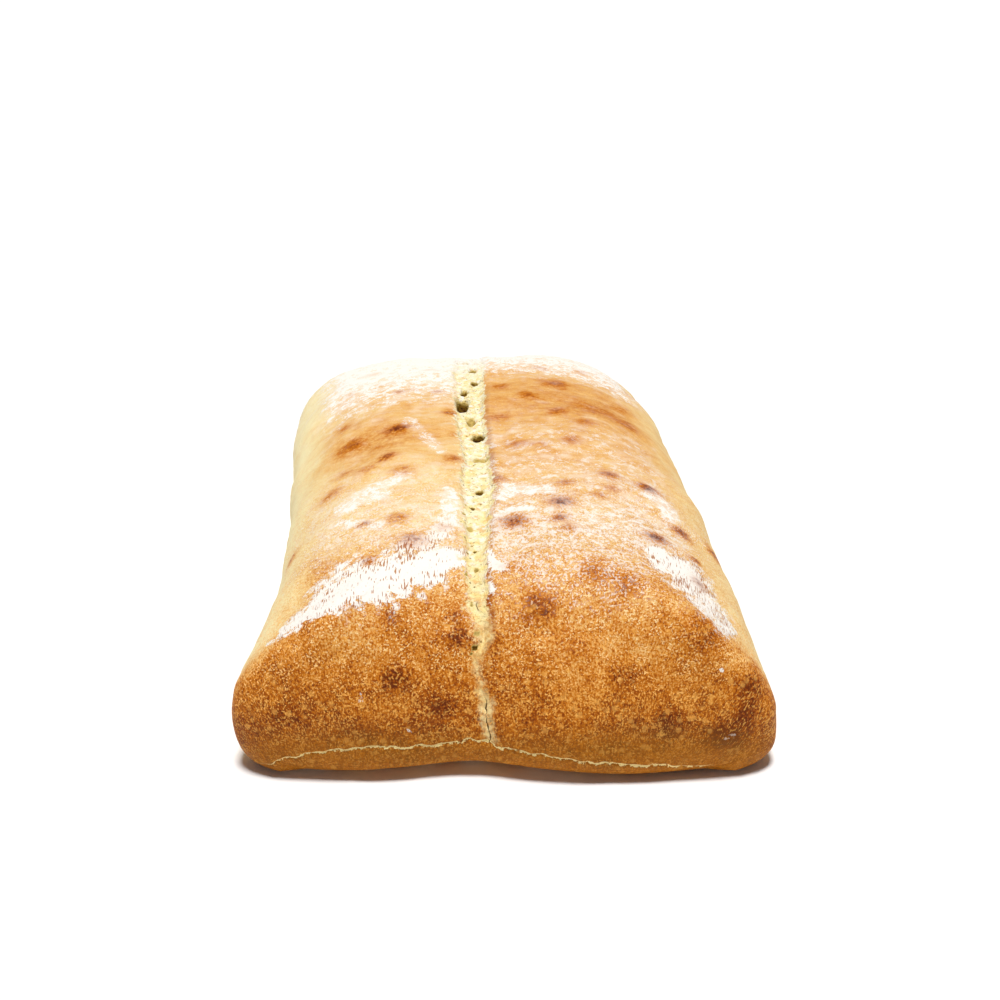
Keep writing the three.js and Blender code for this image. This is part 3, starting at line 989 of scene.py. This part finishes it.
class Tree:
    """A material's nodes."""

    def __init__(self, name):
        self.material = bpy.data.materials.new(name)
        self.material.use_nodes = True
        self.nodes = self.material.node_tree.nodes
        self.links = self.material.node_tree.links
        self.nodes.clear()

    def node(self, kind, settings=None, inputs=None, output=0):
        """Adds a node, sets it up, fills its sockets with numbers or links, and gives one output."""
        node = self.nodes.new(kind)
        for key, value in (settings or {}).items():
            if key == "stops":
                self.set_stops(node.color_ramp, value)
            else:
                setattr(node, key, value)
        for key, value in (inputs or {}).items():
            if isinstance(value, Signal):
                self.links.new(value.socket, node.inputs[key])
            else:
                node.inputs[key].default_value = value
        return Signal(self, node.outputs[output]) if node.outputs else None

    @staticmethod
    def set_stops(ramp, stops):
        while len(ramp.elements) < len(stops):
            ramp.elements.new(1)
        for element, (place, colour) in zip(ramp.elements, stops):
            element.position = place
            element.color = (*colour, 1)

    def value(self, name):
        return self.node("ShaderNodeAttribute", {"attribute_name": name}, output="Fac")

    def vector(self, name):
        return self.node("ShaderNodeAttribute", {"attribute_name": name}, output="Vector")

    def scaled(self, vector, scales):
        return self.node("ShaderNodeVectorMath", {"operation": "MULTIPLY"}, {0: vector, 1: scales})

    def noise(self, vector, cell, detail=2, roughness=0.5):
        """Noise about 0, in cells of that many millimetres."""
        inputs = {"Vector": vector, "Scale": 1 / cell, "Detail": detail, "Roughness": roughness}
        return self.node("ShaderNodeTexNoise", None, inputs) - 0.5

    def streaks(self, flow, cells, detail=1, roughness=0.5):
        """Noise in cells of those sizes across and along the crust."""
        across, along = cells
        return self.noise(self.scaled(flow, (1 / across, 1 / along, 0)), 1, detail, roughness)

    def dots(self, vector, cell, radius):
        """Round dots, about one in a cell, 1 in their middle; radius is a share of the cell."""
        inputs = {"Vector": vector, "Scale": 1 / cell, "Randomness": 1}
        distance = self.node("ShaderNodeTexVoronoi", {"feature": "F1"}, inputs)
        middle = radius * 0.4
        return distance.step(radius, middle)

    def mix(self, share, first, second):
        """Mixes two colours."""
        settings = {"data_type": "RGBA", "clamp_factor": True}
        colours = [c if isinstance(c, Signal) else (*c, 1) for c in (first, second)]
        inputs = {MIX_SHARE: share, MIX_FIRST: colours[0], MIX_SECOND: colours[1]}
        return self.node("ShaderNodeMix", settings, inputs, output=MIX_RESULT)

    def ramp(self, value, stops):
        return self.node("ShaderNodeValToRGB", {"stops": stops}, {0: value})

    def surface(self, colour, roughness, height, specular):
        """A matt surface with a bump whose height is in millimetres."""
        inputs = {"Strength": 1, "Distance": MM, "Height": height}
        normal = self.node("ShaderNodeBump", None, inputs)
        inputs = {"Base Color": colour, "Roughness": roughness, "Normal": normal}
        inputs["Specular IOR Level"] = specular
        shader = self.node("ShaderNodeBsdfPrincipled", None, inputs)
        self.node("ShaderNodeOutputMaterial", None, {"Surface": shader})
        return self.material


# ---------------------------------------------------------------- the crust's material


# Where along the profile each part of the look begins and is full.
NEAR_CRUST = (-84, -124)
TOP_CRUST = (-80, -10)
FOOT_CRUST = (-146, -157)
FEW_FLECKS = (-148, -158)
# Where the pale grains and painted glints take the speckles' colour, and where they begin and are full.
DEEP_GRAINS_AND_GLINTS = (-116, -146)
GRAINS_AND_GLINTS = (-190, -130)
OPEN_CRUMB = (-122, -112)
PALE_CRUMB = (-130, -60)
FLOURED_CRUMB = (44, 84)
EVEN_FLOUR = (-90, -55)
CLUMPS = (-128, -100)
FEW_CLUMPS = (-66, -20)
VEIL = (-104, -66)

# Streaks' cell sizes across and along the crust.
TOP_STREAKS = (5, 1.8)
NEAR_STREAKS = (0.5, 2.2)
FLECKS = (0.6, 1)
FLOUR_GRAINS = (0.6, 1)
FLOUR_CRACKS = (0.38, 3.2)
FLOUR_STREAKS = (5, 2.6)

# Mottling of the crust's brown: noise (cell, detail, roughness), strength, and how much stronger it is
# towards the blunt end. The fine mottling is weaker on the top.
MOTTLING = [
    ((12, 2, 0.5), 0.2, 0.2),
    ((4.4, 2, 0.6), 0.24, 0.08),
]
FINE_MOTTLING = [
    ((1.4, 2, 0.6), 0.28),
    ((0.5, 1, 0.5), 0.7),
]

# The crust's colours by how brown it is.
CRUST_STOPS = {
    "crust_pale": 0,
    "crust_straw": 0.22,
    "crust_gold": 0.42,
    "crust_amber": 0.62,
    "crust_brown": 0.82,
    "crust_scorched": 1,
}

# Patches in the crumb: colour, noise (cell, detail, roughness), where they begin and are full, their share
# everywhere, and how much more on the top.
CRUMB_PATCHES = [
    ("crumb_toasted", (2.8, 3, 0.65), (-0.08, 0.12), 0.8, 0),
    ("crust_gold", (2.4, 3, 0.6), (0.05, 0.17), 0.7, 0),
    ("flour", (1.9, 2, 0.6), (0.02, 0.16), 0, 0.8),
    # Painted shade of small pores.
    ("pore_shade", (1.1, 2, 0.6), (-0.08, -0.2), 0.35, 0.35),
]

# Colours of painted shade that a hollow passes through as it darkens, and where each begins and is full.
HOLLOW_SHADES = {"pore_shade": (0.05, 0.4), "hole_shade": (0.3, 0.75), "rift": (0.85, 1.2)}

# The amount of flour that covers half of the crust, how gradually a film of it ends, and the amounts over
# it at which a film, cracks in a film and a veil begin and are full.
HALF_COVERED = 0.5
FILM_SOFTNESS = 0.12
FILM_AMOUNT = (-0.22, 0.02)
CRACKED_AMOUNT = (-0.1, 0.12)
VEIL_AMOUNT = (-0.24, 0.42)

CRUST_SHINE = 0.12


def crust_colour(tree, colours, place, flow, along):
    """The baked crust: pale to scorched by how brown it is, mottled, streaked and speckled, with painted
    glints among pale grains.
    """
    near = along.step(*NEAR_CRUST)
    fine = 1 - along.step(*TOP_CRUST) * 0.85
    shade = tree.value("brown")
    for cells, strength, near_strength in MOTTLING:
        shade += tree.noise(place, *cells) * (strength + near_strength * near)
    for cells, strength in FINE_MOTTLING:
        shade += tree.noise(place, *cells) * strength * fine
    shade += tree.streaks(flow, TOP_STREAKS, 2, 0.6) * 0.22 * (1 - near)
    shade += tree.streaks(flow, NEAR_STREAKS) * 0.4 * near
    scorch = tree.value("spot") * (1 + tree.noise(place, 1.3, 2, 0.7) * 2.4)
    stops = [(at, getattr(colours, name)) for name, at in CRUST_STOPS.items()]
    colour = tree.ramp(shade + scorch * 0.38, stops)

    blobs = tree.dots(place, 2.4, 0.42) * tree.noise(place, 6).step(-0.02, 0.06) * near
    colour = tree.mix(blobs * 0.45, colour, colours.speckle_and_glint)
    calm = 1 - along.step(*FEW_FLECKS) * 0.4
    flecks = (tree.streaks(flow, FLECKS) + tree.noise(place, 5) * 0.3).step(0.06, 0.18)
    colour = tree.mix(flecks * 0.6 * near * calm, colour, colours.speckle_and_glint)
    # Pale flour grains and painted glints, fewer on the top and none on scorched spots.
    grains_and_glints = (tree.noise(place, 0.45) + tree.noise(place, 3) * 0.3).step(0.08, 0.16)
    grain_and_glint_colour = tree.mix(along.step(*DEEP_GRAINS_AND_GLINTS), colours.grain_and_glint, colours.speckle_and_glint)
    shown = along.step(*GRAINS_AND_GLINTS) * (0.25 + 0.75 * fine) * scorch.step(0.6, 0)
    return tree.mix(grains_and_glints * shown, colour, grain_and_glint_colour), scorch


def crumb_colour(tree, colours, place, along):
    """The torn crumb: deeper towards the blunt end, toasted in smears, with olive painted shade in its
    pores and dark painted shade in its pinholes.
    """
    top = along.step(*PALE_CRUMB)
    colour = tree.mix(top, colours.crumb_near, colours.crumb_far)
    for name, cells, span, share, top_share in CRUMB_PATCHES:
        patches = tree.noise(place, *cells).step(*span)
        colour = tree.mix(patches * (share + top_share * top), colour, getattr(colours, name))
    # Painted shade in pinholes.
    pinhole_shade = tree.dots(place, 1.3, 0.3) * tree.noise(place, 3.4).step(-0.01, 0.06)
    return tree.mix(pinhole_shade * 0.85, colour, colours.hole_shade)


def hollow_shade_colour(tree, colours, place, colour):
    """Paints shade into the holes and pits of the crumb, darker towards their middles."""
    hollow = tree.value("hollow") * (1 + tree.noise(place, 1.4))
    for name, span in HOLLOW_SHADES.items():
        colour = tree.mix(hollow.step(*span), colour, getattr(colours, name))
    return colour


def flour_cover(tree, place, flow, along, bare):
    """Where flour lies, as a film, clumps and a veil, and the short lengthwise cracks that break it."""
    amount = tree.value("flour") - HALF_COVERED
    even = along.step(*EVEN_FLOUR)
    fine = tree.noise(place, 0.5, 1) * 0.9 + tree.noise(place, 1.3, 2, 0.6) * 1.1
    film = amount + tree.noise(place, 3.2, 2, 0.6) * (0.7 + 0.7 * even) + fine
    softness = FILM_SOFTNESS + 0.3 * even
    film = (film + softness * 0.3) * (1 / FILM_SOFTNESS) * (1 - even * 0.7)
    film = film.step(0, 1) * amount.step(*FILM_AMOUNT)

    cracks = tree.streaks(flow, FLOUR_CRACKS) * 3 + tree.noise(place, 5) * 1.6
    gaps = (amount * 0.8 + cracks + 0.09).step(0, -0.1)
    gaps = gaps * amount.step(*CRACKED_AMOUNT) * (1 - even)

    grains = tree.streaks(flow, FLOUR_GRAINS) * 1.9 + tree.noise(place, 2.2) * 0.8
    clumps = (amount + grains + tree.noise(place, 8) * 0.7).step(0, 0.22)
    clumps = clumps * along.step(*CLUMPS) * (1 - along.step(*FEW_CLUMPS) * 0.85) * 0.66

    veil = amount + tree.streaks(flow, FLOUR_STREAKS, 2) * 0.3 + tree.noise(place, 5) * 0.8
    veil = veil.step(*VEIL_AMOUNT) * 0.66 * along.step(*VEIL)
    cover = (film * 0.97).most(clumps).most(veil) * (1 - gaps * 0.9)
    return cover * (1 - bare), gaps


def underside_colour(tree, colours, place):
    """The base: mottled, with a dusting of flour."""
    dusting = (tree.noise(place, 9, 3) + tree.noise(place, 0.9) * 0.5).step(-0.02, 0.16)
    mottle = tree.noise(place, 6, 3).step(-0.2, 0.2)
    colour = tree.mix(mottle, colours.crust_amber, colours.crust_gold)
    return tree.mix(dusting * 0.6, colour, colours.flour)


def crust_material(colours):
    """The crust, with the crumb, rift and crack that show in it, and the flour over it."""
    tree = Tree("floured_crust")
    coordinates = tree.node("ShaderNodeTexCoord", output="Object")
    place = tree.scaled(coordinates, (MM_PER_METRE,) * 3)
    flow = tree.vector("flow")
    along = tree.node("ShaderNodeSeparateXYZ", None, {0: flow}, output="Y")
    jitter = tree.noise(place, 1.1, 2, 0.7)

    ragged = tree.value("torn") + tree.noise(place, 2.2, 3, 0.65) * 5.5
    open_band = along.step(*OPEN_CRUMB)
    crumb = ragged.step(-0.6, 0.6) * open_band
    # The rift, which gets painted shade, and the pale crumb beside it.
    off_rift = tree.value("off_rift") + jitter * 0.7
    rift = (off_rift.size() - tree.value("rift_half_width")).step(0.06, -0.02)
    halo = off_rift.size() * 0.8 - tree.value("beside_rift") * 2.2
    halo = (halo + tree.noise(place, 1.3, 3, 0.7) * 4).step(0.4, -2.2)
    halo = halo * (1 - open_band) * tree.value("off_crack").step(-0.3, 0.5) * 0.94
    crack = (tree.value("off_crack") + jitter * 1.9).size().step(0.3, 0.14)
    crack = crack * tree.value("crack_shown") * tree.noise(place, 2.6).step(-0.2, -0.1)

    crust, scorch = crust_colour(tree, colours, place, flow, along)
    crust = tree.mix(along.step(*FOOT_CRUST) * 0.45, crust, colours.crust_foot)
    # Painted shade darkens the lip of crust to the right of the crumb.
    rim = tree.value("rim") * (1 + tree.noise(place, 2) * 2.5)
    crust = tree.mix(rim, crust, colours.crust_brown)
    bare = (crumb * (1 - along.step(*FLOURED_CRUMB))).most(scorch * 0.6)
    flour, gaps = flour_cover(tree, place, flow, along, bare)
    crust = tree.mix(gaps * 0.7, crust, colours.crust_brown)
    colour = tree.mix(crumb.most(halo), crust, crumb_colour(tree, colours, place, along))
    colour = tree.mix(flour, colour, colours.flour)
    # Painted shade in the holes and pits.
    colour = hollow_shade_colour(tree, colours, place, colour)
    colour = tree.mix(crack, colour, colours.crack)
    # Painted shade in the rift.
    colour = tree.mix(rift, colour, colours.rift)
    colour = tree.mix(tree.value("base"), colour, underside_colour(tree, colours, place))

    grain = tree.noise(place, 0.5, 1) * 0.16 + tree.noise(place, 1.7) * 0.3
    crumb_height = tree.noise(place, 1.2, 2, 0.6) * 0.8 + tree.noise(place, 0.45) * 0.25
    height = grain * (1 - crumb) + crumb_height * crumb + flour * 0.05
    roughness = 0.6 - scorch * 0.12 + flour * 0.3 + crumb * 0.2
    return tree.surface(colour, roughness, height, CRUST_SHINE)


# ---------------------------------------------------------------- settings


def colour_setting(name, description, screen):
    return bpy.props.FloatVectorProperty(
        name=name, description=description, subtype="COLOR", size=3, min=0, max=1, default=srgb(*screen)
    )


def share_setting(name, description):
    return bpy.props.FloatProperty(
        name=name, description=description, default=1, min=0, max=2, subtype="FACTOR"
    )


class CiabattaShape(bpy.types.PropertyGroup):
    lumps: share_setting("Lumps", "How lumpy the crust is")
    blisters: share_setting("Blisters", "How far blisters stand up")
    crumb_roughness: share_setting("Crumb roughness", "How open the torn crumb is")
    torn_edges: share_setting("Torn edges", "How ragged the split's edges are")
    browning: bpy.props.FloatProperty(
        name="Browning", description="Added to how brown the crust is baked", default=0, min=-0.5, max=0.5
    )
    flour: share_setting("Flour", "How much flour dusts the crust")


class CiabattaColours(bpy.types.PropertyGroup):
    crust_pale: colour_setting("Pale crust", "The least baked crust", (255, 238, 184))
    crust_straw: colour_setting("Straw crust", "Lightly baked crust", (247, 214, 150))
    crust_gold: colour_setting("Golden crust", "Crust baked golden", (236, 180, 104))
    crust_amber: colour_setting("Amber crust", "Well baked crust", (206, 121, 26))
    crust_brown: colour_setting("Brown crust", "Brown patches and blisters", (157, 76, 8))
    crust_scorched: colour_setting("Scorched crust", "The darkest spots", (106, 44, 8))
    # Pale flour grains, whose colour also makes the painted glints.
    grain_and_glint: colour_setting("Flour grains", "The finest pale grains on the crust", (255, 220, 160))
    crust_foot: colour_setting("Foot", "The crust down by the foot", (178, 116, 12))
    # Pale specks, whose colour also makes the painted glints low on the blunt face.
    speckle_and_glint: colour_setting("Speckles", "Pale specks in the crust", (255, 186, 90))
    crumb_near: colour_setting("Crumb, blunt end", "Crumb down the blunt face", (255, 232, 168))
    crumb_far: colour_setting("Crumb, top", "Crumb along the top", (255, 246, 206))
    crumb_toasted: colour_setting("Toasted crumb", "Crumb that the oven has coloured", (250, 224, 146))
    # Painted shade in the crumb's pores, holes and pinholes.
    pore_shade: colour_setting("Pores", "Small pores of the crumb", (208, 180, 104))
    hole_shade: colour_setting("Holes", "Inside the crumb's holes", (112, 80, 14))
    crack: colour_setting("Crack", "Crumb in the crack round the foot", (255, 230, 158))
    # Painted shade in the rift and the deepest hollows.
    rift: colour_setting("Rift", "The rift in the split", (70, 36, 8))
    flour: colour_setting("Flour", "Flour on the crust", (255, 249, 240))


class CiabattaStage(bpy.types.PropertyGroup):
    key_strength: bpy.props.FloatProperty(
        name="Light above", description="Strength of the wide light above", default=3.25, min=0
    )
    key_lean: bpy.props.FloatProperty(
        name="Light's lean",
        description="How far the light above leans to the blunt end",
        default=math.radians(9),
        subtype="ANGLE",
    )
    key_spread: bpy.props.FloatProperty(
        name="Light's spread",
        description="How soft the light above is",
        default=math.radians(13),
        subtype="ANGLE",
    )
    surround: bpy.props.FloatProperty(
        name="Surround", description="Strength of the white surround's light", default=0.13, min=0, max=2
    )
    focal_length: bpy.props.FloatProperty(
        name="Focal length", description="The camera's focal length in mm", default=46.8, min=1
    )


# ---------------------------------------------------------------- the stage

# The camera's place in millimetres, and how far it looks down and to the right, in radians.
CAMERA_PLACE = (2.26, -375.07, 182.19)
CAMERA_DOWN = 0.39875
CAMERA_TURN = 0.00344
SENSOR_WIDTH = 36

# In metres: where the lamp hangs, how near and far the camera sees, and the table top's side and how far it
# lies under the loaf.
LAMP_PLACE = (0, 0.5, 1)
CAMERA_RANGE = (0.01, 50)
FLOOR_SIZE = 12
FLOOR_GAP = 0.0002
FLOOR_WHITE = (0.93, 0.93, 0.93, 1)


def add_key_light(strength, lean, spread):
    light = bpy.data.lights.new("light_above", "SUN")
    light.energy = strength
    light.angle = spread
    lamp = bpy.data.objects.new("light_above", light)
    lamp.location = LAMP_PLACE
    lamp.rotation_euler = (lean, 0, 0)
    bpy.context.scene.collection.objects.link(lamp)


def add_surround(strength):
    """A white surround that lights the loaf more weakly than it shows."""
    world = bpy.data.worlds.new("white_surround")
    world.use_nodes = True
    nodes, links = world.node_tree.nodes, world.node_tree.links
    background = nodes["Background"]
    background.inputs["Color"].default_value = (1, 1, 1, 1)
    seen = nodes.new("ShaderNodeLightPath").outputs["Is Camera Ray"]
    shown = nodes.new("ShaderNodeMapRange")
    shown.inputs["To Min"].default_value = strength
    links.new(seen, shown.inputs["Value"])
    links.new(shown.outputs["Result"], background.inputs["Strength"])
    bpy.context.scene.world = world


def floor_material():
    tree = Tree("white_floor")
    inputs = {"Base Color": FLOOR_WHITE, "Roughness": 0.9, "Specular IOR Level": 0}
    shader = tree.node("ShaderNodeBsdfPrincipled", None, inputs)
    tree.node("ShaderNodeOutputMaterial", None, {"Surface": shader})
    return tree.material


def add_floor():
    bm = bmesh.new()
    bmesh.ops.create_grid(bm, x_segments=1, y_segments=1, size=FLOOR_SIZE / 2)
    bmesh.ops.translate(bm, verts=bm.verts, vec=(0, 0, -FLOOR_GAP))
    mesh = bpy.data.meshes.new("table_top")
    bm.to_mesh(mesh)
    bm.free()
    mesh.materials.append(floor_material())
    floor = bpy.data.objects.new("table_top", mesh)
    bpy.context.scene.collection.objects.link(floor)


def add_camera(focal_length):
    camera = bpy.data.cameras.new("camera")
    camera.sensor_fit = "HORIZONTAL"
    camera.sensor_width = SENSOR_WIDTH
    camera.lens = focal_length
    camera.clip_start, camera.clip_end = CAMERA_RANGE
    body = bpy.data.objects.new("camera", camera)
    body.location = Vector(CAMERA_PLACE) * MM
    body.rotation_euler = Euler((math.pi / 2 - CAMERA_DOWN, 0, -CAMERA_TURN), "XYZ")
    bpy.context.scene.collection.objects.link(body)
    bpy.context.scene.camera = body


# ---------------------------------------------------------------- operators and panel


class CIABATTA_OT_loaf(bpy.types.Operator):
    """Builds the loaf: its crust, and the crumb that shows in its split"""

    bl_idname = "ciabatta.loaf"
    bl_label = "Build the loaf"

    def execute(self, context):
        piece = loaf_piece(context.scene.ciabatta_shape)
        piece.data.materials.append(crust_material(context.scene.ciabatta_colours))
        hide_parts("loaf")
        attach(piece, "root")
        return {"FINISHED"}


class CIABATTA_OT_stage(bpy.types.Operator):
    """Sets the white table top, the soft lights and the camera"""

    bl_idname = "ciabatta.stage"
    bl_label = "Set the stage"

    def execute(self, context):
        settings = context.scene.ciabatta_stage
        add_floor()
        add_key_light(settings.key_strength, settings.key_lean, settings.key_spread)
        add_surround(settings.surround)
        context.scene.view_settings.view_transform = "Standard"
        add_camera(settings.focal_length)
        return {"FINISHED"}


class CIABATTA_PT_panel(bpy.types.Panel):
    """Lists the loaf's settings and its operators"""

    bl_idname = "CIABATTA_PT_panel"
    bl_label = "Ciabatta"
    bl_space_type = "VIEW_3D"
    bl_region_type = "UI"
    bl_category = "Ciabatta"

    def draw(self, context):
        for settings in SETTINGS:
            group = getattr(context.scene, settings)
            box = self.layout.box()
            for name in group.__annotations__:
                box.prop(group, name)
        self.layout.operator("ciabatta.loaf")
        self.layout.operator("ciabatta.stage")


CLASSES = (
    CiabattaShape,
    CiabattaColours,
    CiabattaStage,
    CIABATTA_OT_loaf,
    CIABATTA_OT_stage,
    CIABATTA_PT_panel,
)
SETTINGS = {
    "ciabatta_shape": CiabattaShape,
    "ciabatta_colours": CiabattaColours,
    "ciabatta_stage": CiabattaStage,
}


def register():
    for made in CLASSES:
        bpy.utils.register_class(made)
    for name, group in SETTINGS.items():
        setattr(bpy.types.Scene, name, bpy.props.PointerProperty(type=group))


def unregister():
    for name in SETTINGS:
        delattr(bpy.types.Scene, name)
    for made in reversed(CLASSES):
        bpy.utils.unregister_class(made)


def main():
    register()
    bpy.ops.ciabatta.loaf()
    bpy.ops.ciabatta.stage()


if __name__ == "__main__":
    main()
